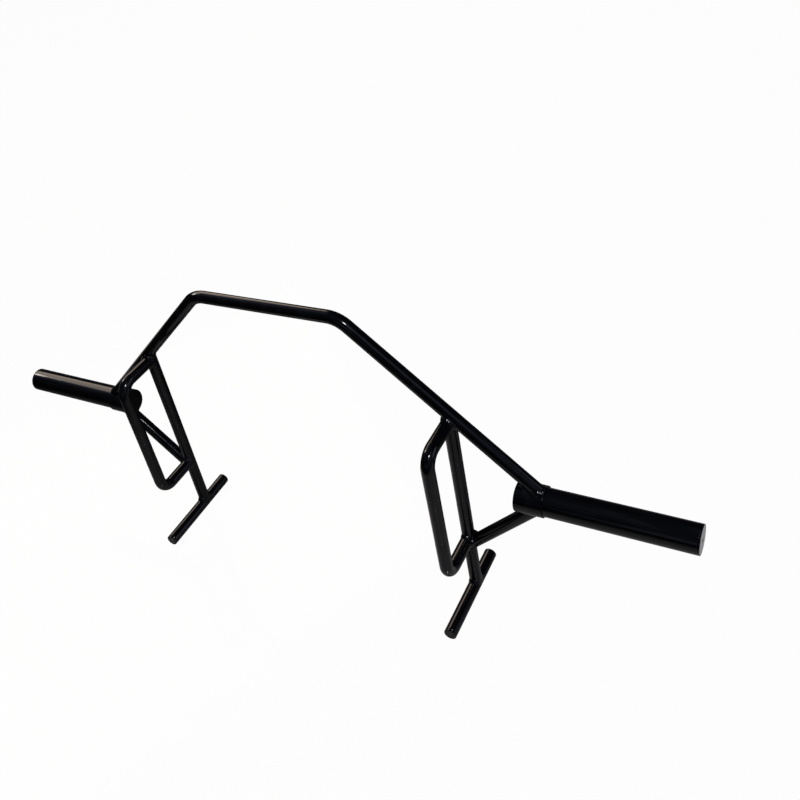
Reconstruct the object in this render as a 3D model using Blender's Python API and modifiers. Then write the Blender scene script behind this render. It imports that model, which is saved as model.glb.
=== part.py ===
"""Open-ended trap bar: a welded frame of round bar that carries two rotating plate sleeves.

The bar stands on its two foot bars, as it does for loading. X runs along the sleeves, Z is up,
and -Y is the side that the handle loops stick out to. Left and right are -X and +X. The origin
is on the floor, midway between the two foot bars and midway along them. Lengths are in metres.
"""
import math

import bmesh
import bpy
from mathutils import Matrix, Vector

# Round stock
BAR_DIAMETER = 0.024
SLEEVE_DIAMETER = 0.050
COLLAR_DIAMETER = 0.055
SHAFT_DIAMETER = 0.030

# Layout of the frame, between centre lines unless a face is named
SLEEVE_AXIS_HEIGHT = 0.281          # sleeve axis above the floor
COLLAR_SPACING = 0.882              # between the collars' inner faces
COLLAR_LENGTH = 0.050
SLEEVE_LENGTH = 0.247               # collar shoulder to the outer face of the end cap
BACK_BAR_RISE = 0.323               # top run of the back bar above the sleeve axis
BACK_BAR_CORNER_SPACING = 0.308     # between the corners where its straight runs would meet
BACK_BAR_BEND_RADIUS = 0.055
GRIP_SPACING = 0.666                # between the two uprights
LOOP_DEPTH = 0.096                  # upright to the outer grip of a loop
LOOP_TOP_DROP = 0.016               # top leg of a loop below the back bar above it
LOOP_BOTTOM_DROP = 0.144            # bottom leg of a loop below the sleeve axis
LOOP_BEND_RADIUS = 0.028
BRACE_BELOW_LEG = 0.017             # brace below the bottom leg, where both reach the upright
FOOT_FRONT = 0.128                  # foot bar in front of the upright
FOOT_BACK = 0.075                   # foot bar behind the upright
FOOT_CHAMFER = 0.002

# Sleeve and what carries it
SLEEVE_WALL = 0.005
COUNTERBORE_WALL = 0.0028
COLLAR_RECESS = 0.0005              # shallow recess in the collar's face, which the sleeve runs over
SLEEVE_END_GAP = 0.001              # sleeve tube clear of that recess
BUSHING_LENGTH = 0.035
BUSHING_FLANGE = 0.003
COLLAR_FLOOR = 0.008                # solid end of the collar behind the shaft
WASHER_THICKNESS = 0.004
WASHER_CLEARANCE = 0.001            # washer's rim to the sleeve that turns round it
BOLT_DIAMETER = 0.012
BOLT_LENGTH = 0.030
BOLT_HEAD_WIDTH = 0.018             # across flats
BOLT_HEAD_HEIGHT = 0.0075
CAP_THICKNESS = 0.003
CAP_SPIGOT = 0.008
CAP_HOLE_DIAMETER = 0.005
CAP_TO_BOLT = 0.003                 # free space between the bolt's head and the cap
HOLE_PAST_BOLT = 0.003              # shaft's tapped hole beyond the bolt's tip
EDGE_CHAMFER = 0.001

# Welds and fits
BEAD_RADIUS = 0.0015
PART_BEAD = (math.radians(18), math.radians(162))   # where a bead behind a bar starts and ends
GAP = 0.0003                        # between pieces that touch
CUT_PAST = 0.070                    # how far a cutter runs past what it cuts

# Fineness of the round shapes
BAR_SIDES = 24
BEND_STEPS = 7
TURNED_STEPS = 40
INNER_STEPS = 24
CUTTER_SIDES = 32
BEAD_POINTS = 24
SHARP_ANGLE = math.radians(40)

BAR_RADIUS = BAR_DIAMETER / 2
COLLAR_RADIUS = COLLAR_DIAMETER / 2
SLEEVE_RADIUS = SLEEVE_DIAMETER / 2
SHAFT_RADIUS = SHAFT_DIAMETER / 2
BOLT_RADIUS = BOLT_DIAMETER / 2
FRAME_Y = (FOOT_FRONT - FOOT_BACK) / 2
COLLAR_INNER_X = COLLAR_SPACING / 2
SHOULDER_X = COLLAR_INNER_X + COLLAR_LENGTH
CORNER_X = BACK_BAR_CORNER_SPACING / 2
GRIP_X = GRIP_SPACING / 2
BEAD_STANDOFF = BEAD_RADIUS + GAP

BAR_RESOLUTION = (BAR_SIDES - 4) // 2
BEAD_RESOLUTION = 1

SIDES = {"left": -1, "right": 1}
X_AXIS = Vector((1, 0, 0))
Y_AXIS = Vector((0, 1, 0))
Z_AXIS = Vector((0, 0, 1))


def remove_all_objects():
    for old in list(bpy.data.objects):
        bpy.data.objects.remove(old, do_unlink=True)


def new_collection(name):
    collection = bpy.data.collections.new(name)
    bpy.context.scene.collection.children.link(collection)
    return collection


def make_material(name, colour, roughness, metallic):
    material = bpy.data.materials.new(name)
    material.use_nodes = True
    shader = material.node_tree.nodes["Principled BSDF"]
    shader.inputs["Base Color"].default_value = (*colour, 1.0)
    shader.inputs["Roughness"].default_value = roughness
    shader.inputs["Metallic"].default_value = metallic
    return material


remove_all_objects()
PARTS = new_collection("open_trap_bar")
CUTTERS = new_collection("cutters")


def frame_point(x, y, z):
    """Point given from the middle of the sleeve axis: across, towards the back, and up."""
    return Vector((x, FRAME_Y + y, SLEEVE_AXIS_HEIGHT + z))


def add_object(name, mesh, material):
    piece = bpy.data.objects.new(name, mesh)
    piece.data.materials.append(material)
    PARTS.objects.link(piece)
    return piece


def as_cutter(piece):
    piece.hide_render = True
    piece.display_type = "WIRE"
    CUTTERS.objects.link(piece)
    return piece


def cylinder_mesh(name, start, end, radius, sides):
    """Closed round bar from start to end."""
    run = end - start
    turn = Z_AXIS.rotation_difference(run).to_matrix().to_4x4()
    place = Matrix.Translation((start + end) / 2) @ turn
    shape = bmesh.new()
    bmesh.ops.create_cone(shape, cap_ends=True, segments=sides, radius1=radius, radius2=radius,
                          depth=run.length, matrix=place)
    mesh = bpy.data.meshes.new(name)
    shape.to_mesh(mesh)
    shape.free()
    mesh.shade_smooth()
    mesh.set_sharp_from_angle(angle=SHARP_ANGLE)
    return mesh


def boolean(piece, tool, operation="DIFFERENCE"):
    step = piece.modifiers.new(f"{operation.lower()}_{tool.name}", "BOOLEAN")
    step.operation = operation
    step.solver = "EXACT"
    step.object = tool


def rounded_route(corners, radius):
    """Points along straight runs between corners, with an arc of the given radius at each bend."""
    route = [corners[0]]
    for before, corner, after in zip(corners, corners[1:], corners[2:]):
        towards = (before - corner).normalized()
        away = (after - corner).normalized()
        half_angle = towards.angle(away) / 2
        setback = radius / math.tan(half_angle)
        centre = corner + (towards + away).normalized() * (radius / math.sin(half_angle))
        first = corner + towards * setback - centre
        swing = math.pi - 2 * half_angle
        axis = away.cross(towards).normalized()
        for step in range(BEND_STEPS + 1):
            route.append(centre + Matrix.Rotation(swing * step / BEND_STEPS, 3, axis) @ first)
    route.append(corners[-1])
    return route


def swept_mesh(name, route, radius, resolution, closed=False):
    """Tube of the given radius along a route, as one closed mesh."""
    curve = bpy.data.curves.new(name, "CURVE")
    curve.dimensions = "3D"
    curve.bevel_depth = radius
    curve.bevel_resolution = resolution
    curve.use_fill_caps = not closed
    spline = curve.splines.new("POLY")
    spline.points.add(len(route) - 1)
    spline.points.foreach_set("co", [value for point in route for value in (*point, 1.0)])
    spline.use_cyclic_u = closed
    guide = bpy.data.objects.new(name + "_guide", curve)
    PARTS.objects.link(guide)
    evaluated = guide.evaluated_get(bpy.context.evaluated_depsgraph_get())
    mesh = bpy.data.meshes.new_from_object(evaluated)
    bpy.data.objects.remove(guide)
    bpy.data.curves.remove(curve)
    shape = bmesh.new()
    shape.from_mesh(mesh)
    bmesh.ops.remove_doubles(shape, verts=shape.verts, dist=0.00001)
    bmesh.ops.recalc_face_normals(shape, faces=shape.faces)
    shape.to_mesh(mesh)
    shape.free()
    mesh.name = name
    mesh.shade_smooth()
    mesh.set_sharp_from_angle(angle=SHARP_ANGLE)
    return mesh


def turned_piece(name, profile, material, parent, steps):
    """Solid turned about its parent's Z axis, from (distance along the axis, radius) points.

    The profile runs from the outer end to the inner end on the outside, then back inside.
    """
    mesh = bpy.data.meshes.new(name)
    points = [(radius, 0.0, along) for along, radius in profile]
    edges = [(i, i + 1) for i in range(len(points) - 1)]
    if profile[0][1] > 0:
        edges.append((len(points) - 1, 0))
    mesh.from_pydata(points, edges, [])
    piece = add_object(name, mesh, material)
    screw = piece.modifiers.new("turn", "SCREW")
    screw.axis = "Z"
    screw.angle = math.tau
    screw.screw_offset = 0.0
    screw.steps = steps
    screw.render_steps = steps
    screw.use_merge_vertices = True
    screw.merge_threshold = 0.00001
    screw.use_smooth_shade = True
    piece.parent = parent
    return piece


def axis_empty(name, side):
    """Empty on the sleeve axis at the collar's shoulder, with its Z axis pointing outwards."""
    empty = bpy.data.objects.new(name, None)
    empty.location = frame_point(SIDES[side] * SHOULDER_X, 0, 0)
    empty.rotation_euler = (0, SIDES[side] * math.pi / 2, 0)
    empty.empty_display_size = COLLAR_DIAMETER
    PARTS.objects.link(empty)
    return empty


def diagonal_direction():
    """Unit run of the back bar's right diagonal, whose outer side ends at the collar's shoulder."""
    to_edge = Vector((SHOULDER_X - CORNER_X, COLLAR_RADIUS - BACK_BAR_RISE))
    fall = math.atan2(-to_edge.y, to_edge.x) + math.asin(BAR_RADIUS / to_edge.length)
    return Vector((math.cos(fall), 0, -math.sin(fall)))


DIAGONAL = diagonal_direction()
DIAGONAL_END_X = CORNER_X + BACK_BAR_RISE * DIAGONAL.x / -DIAGONAL.z
BACK_BAR_OVER_GRIP = (DIAGONAL_END_X - GRIP_X) * -DIAGONAL.z / DIAGONAL.x
LOOP_TOP = BACK_BAR_OVER_GRIP - LOOP_TOP_DROP
BRACE_END = LOOP_BOTTOM_DROP + BRACE_BELOW_LEG
FOOT_Z = BAR_RADIUS - SLEEVE_AXIS_HEIGHT


def brace_direction(sign):
    """Unit run of a brace, up and out from the upright to the middle of the collar's underside."""
    landing_x = COLLAR_INNER_X + COLLAR_LENGTH / 2
    return Vector((sign * (landing_x - GRIP_X), 0, BRACE_END - COLLAR_RADIUS)).normalized()


def frame_lines(side):
    """Centre lines of the frame on one side, each as a point, a unit direction and a radius."""
    sign = SIDES[side]
    diagonal = Vector((-sign * DIAGONAL.x, 0, -DIAGONAL.z))
    return {
        "collar": (frame_point(sign * SHOULDER_X, 0, 0), X_AXIS * -sign, COLLAR_RADIUS),
        "back_bar": (frame_point(sign * DIAGONAL_END_X, 0, 0), diagonal, BAR_RADIUS),
        "upright": (frame_point(sign * GRIP_X, 0, FOOT_Z), Z_AXIS, BAR_RADIUS),
        "top_leg": (frame_point(sign * GRIP_X, 0, LOOP_TOP), -Y_AXIS, BAR_RADIUS),
        "bottom_leg": (frame_point(sign * GRIP_X, 0, -LOOP_BOTTOM_DROP), -Y_AXIS, BAR_RADIUS),
        "brace": (frame_point(sign * GRIP_X, 0, -BRACE_END), brace_direction(sign), BAR_RADIUS),
        "foot_bar": (frame_point(sign * GRIP_X, 0, FOOT_Z), Y_AXIS, BAR_RADIUS),
    }


def cope_cutter(name, line, back, forward):
    """Cutter round a centre line, a gap larger than its bar, from back to forward of its point."""
    point, direction, radius = line
    mesh = cylinder_mesh(name, point - direction * back, point + direction * forward, radius + GAP,
                         CUTTER_SIDES)
    return as_cutter(bpy.data.objects.new(name, mesh))


def make_cutters(side, lines):
    past_grip = (DIAGONAL_END_X - GRIP_X) / DIAGONAL.x + CUT_PAST
    past_top = BACK_BAR_OVER_GRIP - FOOT_Z + CUT_PAST
    reaches = {
        "collar": (CUT_PAST, COLLAR_LENGTH + CUT_PAST),
        "back_bar": (0, past_grip),
        "upright": (0, past_top),
        "bottom_leg": (0, BAR_DIAMETER),
        "foot_bar": (FOOT_FRONT, FOOT_BACK),
    }
    return {name: cope_cutter(f"cut_{name}_{side}", lines[name], back, forward)
            for name, (back, forward) in reaches.items()}


def bead_route(bar, obstacles, swing):
    """Path of a weld bead round a bar where it runs into other bars.

    Round the bar's enlarged surface, each point slides out along the bar until it is a bead's
    standoff clear of the obstacles. A quarter turn lies on the bar's back, or on a leg's top.
    """
    origin, along, radius = bar
    side_way = X_AXIS if abs(along.y) == 1 else Y_AXIS.cross(along).normalized()
    up_way = along.cross(side_way)
    reach = radius + BEAD_STANDOFF
    first, last = swing
    closed = last - first > math.pi
    count = BEAD_POINTS if closed else BEAD_POINTS // 2
    intervals = count if closed else count - 1
    route = []
    for step in range(count):
        angle = first + (last - first) * step / intervals
        start = origin + reach * (math.cos(angle) * side_way + math.sin(angle) * up_way)
        slide = 0.0
        for point, direction, blocked in obstacles:
            offset = start - point
            offset -= direction * offset.dot(direction)
            drift = along - direction * along.dot(direction)
            drift_squared = drift.length_squared
            overlap = (blocked + BEAD_STANDOFF) ** 2 - offset.length_squared
            inside = offset.dot(drift) ** 2 + drift_squared * overlap
            if inside > 0:
                rounded = math.sqrt(inside + BEAD_RADIUS ** 2 * drift_squared)
                slide = max(slide, (rounded - offset.dot(drift)) / drift_squared)
        route.append(start + along * slide)
    return route, closed


def make_back_bar(material, cutters):
    """One bar bent to a half hexagon, coped at both ends to sit on the collars."""
    half = [frame_point(DIAGONAL_END_X, 0, 0), frame_point(CORNER_X, 0, BACK_BAR_RISE)]
    other_half = [Vector((-point.x, point.y, point.z)) for point in reversed(half)]
    route = rounded_route(half + other_half, BACK_BAR_BEND_RADIUS)
    back_bar = add_object("back_bar", swept_mesh("back_bar", route, BAR_RADIUS, BAR_RESOLUTION), material)
    for side in SIDES:
        boolean(back_bar, cutters[side]["collar"])


def make_upright(side, lines, material, cutters):
    """Straight bar whose middle is the lower grip, coped to the back bar and the foot bar."""
    foot = lines["upright"][0]
    top = frame_point(foot.x, 0, BACK_BAR_OVER_GRIP)
    mesh = cylinder_mesh("upright", foot, top, BAR_RADIUS, BAR_SIDES)
    upright = add_object(f"upright_{side}", mesh, material)
    boolean(upright, cutters["foot_bar"])
    boolean(upright, cutters["back_bar"])


def make_handle_loop(side, lines, material, cutters):
    """U-shaped bar whose outer run is the raised grip."""
    top = lines["top_leg"][0]
    bottom = lines["bottom_leg"][0]
    reach = -Y_AXIS * LOOP_DEPTH
    route = rounded_route([top, top + reach, bottom + reach, bottom], LOOP_BEND_RADIUS)
    mesh = swept_mesh("handle_loop", route, BAR_RADIUS, BAR_RESOLUTION)
    loop = add_object(f"handle_loop_{side}", mesh, material)
    boolean(loop, cutters["upright"])
    boolean(loop, cutters["back_bar"])


def make_brace(side, lines, material, cutters):
    """Slanted bar from the upright to the underside of the collar."""
    point, direction, radius = lines["brace"]
    end = point + direction * (BRACE_END / direction.z)
    mesh = cylinder_mesh("brace", point, end, radius, BAR_SIDES)
    brace = add_object(f"brace_{side}", mesh, material)
    for name in ("collar", "upright", "bottom_leg"):
        boolean(brace, cutters[name])


def make_foot_bar(side, lines, material):
    """Bar that the upright stands on, longer in front, with chamfered ends."""
    point, direction, radius = lines["foot_bar"]
    front = point - direction * FOOT_FRONT
    mesh = cylinder_mesh("foot_bar", front, point + direction * FOOT_BACK, radius, BAR_SIDES)
    foot_bar = add_object(f"foot_bar_{side}", mesh, material)
    bevel = foot_bar.modifiers.new("chamfer", "BEVEL")
    bevel.width = FOOT_CHAMFER
    bevel.segments = 2
    bevel.limit_method = "ANGLE"
    bevel.angle_limit = SHARP_ANGLE


def make_welds(side, lines, material):
    """Weld beads where the bars meet: all round, or behind only where a loop's leg is in the way."""
    all_round = (0.0, math.tau)
    brace_foot, brace_run, _ = lines["brace"]
    brace_from_collar = (brace_foot + brace_run * (BRACE_END / brace_run.z), -brace_run, BAR_RADIUS)
    upright_from_top = (frame_point(SIDES[side] * GRIP_X, 0, BACK_BAR_OVER_GRIP), -Z_AXIS, BAR_RADIUS)
    beads = {
        "back_bar": (lines["back_bar"], ["collar"], all_round),
        "brace_top": (brace_from_collar, ["collar"], all_round),
        "brace_bottom": (lines["brace"], ["upright"], PART_BEAD),
        "upright_top": (upright_from_top, ["back_bar"], PART_BEAD),
        "upright_foot": (lines["upright"], ["foot_bar"], all_round),
        "loop_top": (lines["top_leg"], ["upright", "back_bar"], all_round),
        "loop_bottom": (lines["bottom_leg"], ["upright", "brace"], all_round),
    }
    for name, (bar, blockers, swing) in beads.items():
        route, closed = bead_route(bar, [lines[blocker] for blocker in blockers], swing)
        mesh = swept_mesh("weld", route, BEAD_RADIUS, BEAD_RESOLUTION, closed)
        add_object(f"weld_{name}_{side}", mesh, material)


def make_bolt(side, material, parent, head_start):
    """Hexagon-head bolt: the head is joined to a plain shank that runs inwards."""
    head_radius = BOLT_HEAD_WIDTH / 2 / math.cos(math.pi / 6)
    head_end = head_start + BOLT_HEAD_HEIGHT
    head_middle = head_start + BOLT_HEAD_HEIGHT / 2
    head = cylinder_mesh("bolt_head", Z_AXIS * head_start, Z_AXIS * head_end, head_radius, 6)
    bolt = add_object(f"retaining_bolt_{side}", head, material)
    shank_end = Z_AXIS * (head_start - BOLT_LENGTH)
    shank = cylinder_mesh("bolt_shank", shank_end, Z_AXIS * head_middle, BOLT_RADIUS, INNER_STEPS)
    tool = as_cutter(bpy.data.objects.new(f"bolt_shank_{side}", shank))
    boolean(bolt, tool, "UNION")
    bolt.parent = parent
    tool.parent = parent


def make_sleeve_assembly(side, materials):
    """Collar, shaft, sleeve and the pieces that let it spin, turned about the sleeve axis.

    Distances along the axis are counted outwards from the collar's shoulder, so each profile
    starts at the piece's outer end or, where a hole ends inside it, at the hole's floor. The
    plates' stop is the ring of the collar's face outside its shallow recess.
    """
    fixed = axis_empty(f"shaft_axis_{side}", side)
    spinning = axis_empty(f"spin_axis_{side}", side)
    black, steel, bronze, zinc, bare = (materials[name] for name in (
        "gloss_black", "shaft_steel", "bronze", "zinc", "bright_steel"))

    edge = EDGE_CHAMFER
    bore = SLEEVE_RADIUS - SLEEVE_WALL
    counterbore = SLEEVE_RADIUS - COUNTERBORE_WALL
    sleeve_end = SLEEVE_LENGTH - CAP_THICKNESS - GAP
    spigot_end = sleeve_end - CAP_SPIGOT
    head_start = spigot_end - CAP_TO_BOLT - BOLT_HEAD_HEIGHT
    washer_end = head_start - GAP
    washer_start = washer_end - WASHER_THICKNESS
    shaft_end = washer_start - GAP
    outer_seat = shaft_end - BUSHING_FLANGE - GAP
    recess = -COLLAR_RECESS
    inner_flange_start = recess + GAP
    inner_flange_end = inner_flange_start + BUSHING_FLANGE
    sleeve_start = recess + SLEEVE_END_GAP
    inner_seat = inner_flange_end + GAP
    shaft_start = COLLAR_FLOOR + GAP - COLLAR_LENGTH
    shaft_hole = BOLT_RADIUS + GAP
    shaft_hole_floor = head_start - BOLT_LENGTH - HOLE_PAST_BOLT
    running = SHAFT_RADIUS + GAP
    pressed = bore - GAP
    flange = counterbore - GAP
    cap_hole = CAP_HOLE_DIAMETER / 2
    plate_stop = SLEEVE_RADIUS + GAP

    turned_piece(f"collar_{side}", [
        (shaft_start - GAP, 0), (shaft_start - GAP, running), (recess, running),
        (recess, plate_stop), (0, plate_stop), (0, COLLAR_RADIUS - edge), (-edge, COLLAR_RADIUS),
        (edge - COLLAR_LENGTH, COLLAR_RADIUS), (-COLLAR_LENGTH, COLLAR_RADIUS - edge), (-COLLAR_LENGTH, 0),
    ], black, fixed, TURNED_STEPS)
    turned_piece(f"stub_shaft_{side}", [
        (shaft_hole_floor, 0), (shaft_hole_floor, shaft_hole), (shaft_end, shaft_hole),
        (shaft_end, SHAFT_RADIUS - edge), (shaft_end - edge, SHAFT_RADIUS),
        (shaft_start + edge, SHAFT_RADIUS), (shaft_start, SHAFT_RADIUS - edge), (shaft_start, 0),
    ], steel, fixed, INNER_STEPS)
    turned_piece(f"retaining_washer_{side}", [
        (washer_end, counterbore - WASHER_CLEARANCE), (washer_start, counterbore - WASHER_CLEARANCE),
        (washer_start, shaft_hole), (washer_end, shaft_hole),
    ], zinc, fixed, INNER_STEPS)
    make_bolt(side, zinc, fixed, head_start)

    turned_piece(f"inner_bushing_{side}", [
        (inner_seat + BUSHING_LENGTH, pressed), (inner_flange_end, pressed), (inner_flange_end, flange),
        (inner_flange_start, flange), (inner_flange_start, running),
        (inner_seat + BUSHING_LENGTH, running),
    ], bronze, spinning, TURNED_STEPS)
    turned_piece(f"outer_bushing_{side}", [
        (shaft_end, flange), (outer_seat + GAP, flange), (outer_seat + GAP, pressed),
        (outer_seat - BUSHING_LENGTH, pressed), (outer_seat - BUSHING_LENGTH, running),
        (shaft_end, running),
    ], bronze, spinning, TURNED_STEPS)
    turned_piece(f"sleeve_{side}", [
        (sleeve_end, SLEEVE_RADIUS - edge), (sleeve_end - edge, SLEEVE_RADIUS),
        (sleeve_start + edge, SLEEVE_RADIUS), (sleeve_start, SLEEVE_RADIUS - edge),
        (sleeve_start, counterbore), (inner_seat, counterbore), (inner_seat, bore),
        (outer_seat, bore), (outer_seat, counterbore), (sleeve_end, counterbore),
    ], black, spinning, TURNED_STEPS)
    turned_piece(f"end_cap_{side}", [
        (SLEEVE_LENGTH, SLEEVE_RADIUS - edge), (SLEEVE_LENGTH - edge, SLEEVE_RADIUS),
        (SLEEVE_LENGTH - CAP_THICKNESS, SLEEVE_RADIUS), (SLEEVE_LENGTH - CAP_THICKNESS, flange),
        (spigot_end, flange), (spigot_end, cap_hole), (SLEEVE_LENGTH, cap_hole),
    ], bare, spinning, TURNED_STEPS)


def main():
    materials = {
        "gloss_black": make_material("gloss_black", (0.012, 0.012, 0.014), 0.12, 0.0),
        "bright_steel": make_material("bright_steel", (0.62, 0.62, 0.60), 0.35, 1.0),
        "shaft_steel": make_material("shaft_steel", (0.45, 0.45, 0.46), 0.30, 1.0),
        "bronze": make_material("bronze", (0.50, 0.30, 0.12), 0.40, 1.0),
        "zinc": make_material("zinc", (0.58, 0.60, 0.62), 0.40, 1.0),
    }
    black = materials["gloss_black"]
    lines = {side: frame_lines(side) for side in SIDES}
    cutters = {side: make_cutters(side, lines[side]) for side in SIDES}
    make_back_bar(black, cutters)
    for side in SIDES:
        make_upright(side, lines[side], black, cutters[side])
        make_handle_loop(side, lines[side], black, cutters[side])
        make_brace(side, lines[side], black, cutters[side])
        make_foot_bar(side, lines[side], black)
        make_welds(side, lines[side], black)
        make_sleeve_assembly(side, materials)
    bpy.context.view_layer.update()


main()
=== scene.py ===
import bpy
import numpy as np
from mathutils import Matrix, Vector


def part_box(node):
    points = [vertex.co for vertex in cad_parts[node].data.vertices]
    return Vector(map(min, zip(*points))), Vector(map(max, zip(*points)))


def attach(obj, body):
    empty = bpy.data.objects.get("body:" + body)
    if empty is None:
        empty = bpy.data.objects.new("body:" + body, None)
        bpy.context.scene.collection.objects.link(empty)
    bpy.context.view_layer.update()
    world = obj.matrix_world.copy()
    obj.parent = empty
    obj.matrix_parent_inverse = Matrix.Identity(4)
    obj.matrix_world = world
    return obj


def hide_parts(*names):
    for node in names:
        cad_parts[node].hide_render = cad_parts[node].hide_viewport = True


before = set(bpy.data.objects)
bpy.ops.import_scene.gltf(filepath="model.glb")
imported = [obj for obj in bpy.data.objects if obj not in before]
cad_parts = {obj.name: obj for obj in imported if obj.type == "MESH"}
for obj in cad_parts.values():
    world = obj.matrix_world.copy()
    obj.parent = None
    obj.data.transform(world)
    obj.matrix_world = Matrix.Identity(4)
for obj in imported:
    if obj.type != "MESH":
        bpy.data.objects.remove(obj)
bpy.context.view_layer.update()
print("frame loaded:", len(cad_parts), "nodes")

millimetre = 0.001
xWay, yWay, zWay = np.eye(3)
sideSigns = {"left": -1, "right": 1}


def boxOf(node):
    low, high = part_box(node)
    return np.array(low), np.array(high)


# Sizes read from the frame
footLow, footHigh = boxOf("foot_bar_right")
loopLow, loopHigh = boxOf("handle_loop_right")
collarLow, collarHigh = boxOf("collar_right")
sleeveLow, sleeveHigh = boxOf("sleeve_right")
capLow, capHigh = boxOf("end_cap_right")
barRadius = (footHigh[2] - footLow[2]) / 2
collarRadius = (collarHigh[2] - collarLow[2]) / 2
sleeveRadius = (sleeveHigh[2] - sleeveLow[2]) / 2
collarInner, shoulder = collarLow[0], collarHigh[0]
frameY, axisZ = (collarLow[1:] + collarHigh[1:]) / 2
axisOrigin = np.array([0, frameY, axisZ])
gripX = (footLow[0] + footHigh[0]) / 2
footZ = (footLow[2] + footHigh[2]) / 2
topLegZ, bottomLegZ = loopHigh[2] - barRadius, loopLow[2] + barRadius
outerGripY = loopLow[1] + barRadius
backBarZ = boxOf("back_bar")[1][2] - barRadius


# Small helpers for arrays of points

def unit(vectors):
    vectors = np.asarray(vectors, float)
    return vectors / np.linalg.norm(vectors, axis=-1, keepdims=True)


def squareTo(vectors, axis):
    # What is left of each vector once its share along a unit axis is taken away.
    return vectors - (vectors @ axis)[..., None] * axis


def roundCorners(corners, radii, steps, hold):
    # Straight runs joined by arcs, as points and directions. At a corner the arc's centre lies on
    # the bisector, radius / sin(half the angle) away, and the arc starts radius / tan(half the
    # angle) before the corner. Extra points at the distance hold before and after each arc keep
    # the straight runs' shading true.
    corners = np.asarray(corners, float)
    points, runs = [corners[0]], [unit(corners[1] - corners[0])]
    for before, corner, after, radius in zip(corners, corners[1:], corners[2:], radii):
        back, ahead = unit(before - corner), unit(after - corner)
        half = np.arccos(np.clip(back @ ahead, -1, 1)) / 2
        first = corner + back * radius / np.tan(half)
        last = corner + ahead * radius / np.tan(half)
        spoke = first - corner - unit(back + ahead) * radius / np.sin(half)
        turn = np.linspace(0, np.pi - 2 * half, steps + 1)[:, None]
        arc = first - spoke + spoke * np.cos(turn) - back * radius * np.sin(turn)
        arcRuns = -back * np.cos(turn) - unit(spoke) * np.sin(turn)
        points += [first + back * hold, *arc, last + ahead * hold]
        runs += [-back, *arcRuns, ahead]
    points.append(corners[-1])
    runs.append(unit(corners[-1] - corners[-2]))
    return np.array(points), np.array(runs)


sharpAngle = np.radians(34)    # an edge that turns by more than this stays crisp


def surfaceObject(name, grid, material, closedRows=False, ends=(), second=None, secondRows=()):
    # grid[i, j] is the point at row i of the run and column j round it. Columns always close;
    # rows close for a ring, or each open end is closed by a fan of triangles to a centre point.
    # The faces between the rows named in secondRows take a second material.
    rows, columns = grid.shape[:2]
    index = np.arange(rows * columns).reshape(rows, columns)
    if closedRows:
        index = np.vstack([index, index[:1]])
    index = np.hstack([index, index[:, :1]])
    quads = np.stack([index[:-1, :-1], index[:-1, 1:], index[1:, 1:], index[1:, :-1]], -1)
    quads = quads.reshape(-1, 4)
    points = grid.reshape(-1, 3)
    fans = np.empty((0, 3), int)
    for centre, ring in zip(ends, (index[0][::-1], index[-1])):
        tips = np.full(columns, len(points))
        points = np.vstack([points, [centre]])
        fans = np.vstack([fans, np.stack([ring[:-1], ring[1:], tips], -1)])
    a, b, c = points[np.vstack([quads[:, :3], quads[:, [0, 2, 3]], fans])].transpose(1, 0, 2)
    if (a * np.cross(b, c)).sum() < 0:    # six times the volume, below zero when faces point in
        quads, fans = quads[:, ::-1], fans[:, ::-1]
    mesh = bpy.data.meshes.new(name)
    mesh.from_pydata(points.tolist(), [], quads.tolist() + fans.tolist())
    mesh.shade_smooth()
    mesh.set_sharp_from_angle(angle=sharpAngle)
    mesh.materials.append(material)
    if second:
        mesh.materials.append(second)
        inSecond = np.isin(np.arange(len(quads)) // columns, secondRows)
        places = np.concatenate([inSecond, np.zeros(len(fans))]).astype(np.int32)
        mesh.polygons.foreach_set("material_index", places)
    piece = bpy.data.objects.new(name, mesh)
    bpy.context.scene.collection.objects.link(piece)
    return piece


def standIn(piece, node, body="frame"):
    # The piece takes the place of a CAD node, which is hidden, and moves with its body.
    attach(piece, body)
    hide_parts(node)


def tubeGrid(centres, runs, side, radii, columns):
    # Point = centre + radius * (cos(angle) * side + sin(angle) * (run x side)), where side is
    # square to the whole run, because each bar's centre line lies in one plane.
    angle = np.arange(columns) * 2 * np.pi / columns
    up = np.cross(runs, side)
    ring = np.cos(angle)[None, :, None] * side + np.sin(angle)[None, :, None] * up[:, None]
    return centres[:, None] + np.broadcast_to(radii, ring.shape[:2])[..., None] * ring


lathe = {"columns": 128, "arcSteps": 6, "hold": 0.3 * millimetre, "closeHold": 0.15 * millimetre}


def turnedGrid(origin, along, side, corners, rounding, columns=lathe["columns"],
               hold=lathe["hold"]):
    # A lathe shape: the profile's corners are (distance along the axis, radius), rounded by the
    # radii in rounding, and each profile point goes once round the axis.
    profile, _ = roundCorners(corners, rounding, lathe["arcSteps"], hold)
    centres = origin + profile[:, :1] * along
    return tubeGrid(centres, np.tile(along, (len(profile), 1)), side, profile[:, 1:], columns)


# Centre lines of the bars on each side, and where they meet

bars = {"columns": 80, "bendSteps": 24, "bendHold": 2 * millimetre, "clearance": 0.3 * millimetre}
backBar = {"cornerSpacing": 308 * millimetre, "bendRadius": 55 * millimetre}
brace = {"belowLeg": 17 * millimetre}

cornerX = backBar["cornerSpacing"] / 2
toEdge = np.array([shoulder - cornerX, axisZ + collarRadius - backBarZ])
fall = np.arctan2(-toEdge[1], toEdge[0]) + np.arcsin(barRadius / np.linalg.norm(toEdge))
diagonalEndX = cornerX + (backBarZ - axisZ) / np.tan(fall)
overGripZ = axisZ + (diagonalEndX - gripX) * np.tan(fall)
braceFootZ = bottomLegZ - brace["belowLeg"]


def barLine(point, along, radius=barRadius, halfLine=False):
    return {"point": np.array(point), "along": unit(along), "radius": radius, "halfLine": halfLine}


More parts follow.
